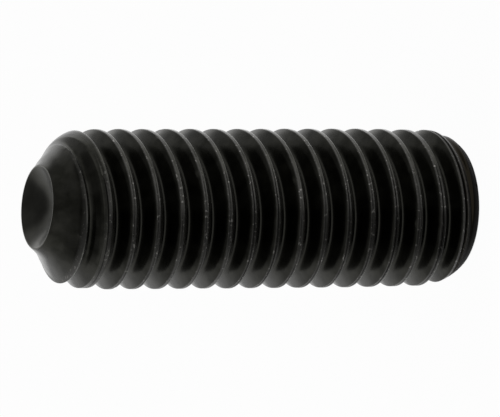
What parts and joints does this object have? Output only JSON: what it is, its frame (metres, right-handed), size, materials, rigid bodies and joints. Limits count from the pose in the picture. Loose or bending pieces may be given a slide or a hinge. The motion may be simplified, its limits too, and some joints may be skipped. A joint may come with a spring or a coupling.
{
  "type": "grub set screw",
  "caption": "Headless black steel grub screw, threaded from end to end, with a cup point to grip a shaft and a hexagon socket to turn it.",
  "frame": {"origin": "centre of the flat socket end, on the screw's axis, where it stands", "axes": "+Z along the screw's axis, from the socket end to the cup point; +X through a corner of the hexagon socket"},
  "size_m": [0.0048, 0.0048, 0.014],
  "materials": {
    "black_steel": "black oxide, satin, with thread crests worn a little brighter"
  },
  "bodies": {
    "root": {"set_screw": "black_steel"}
  },
  "joints": []
}
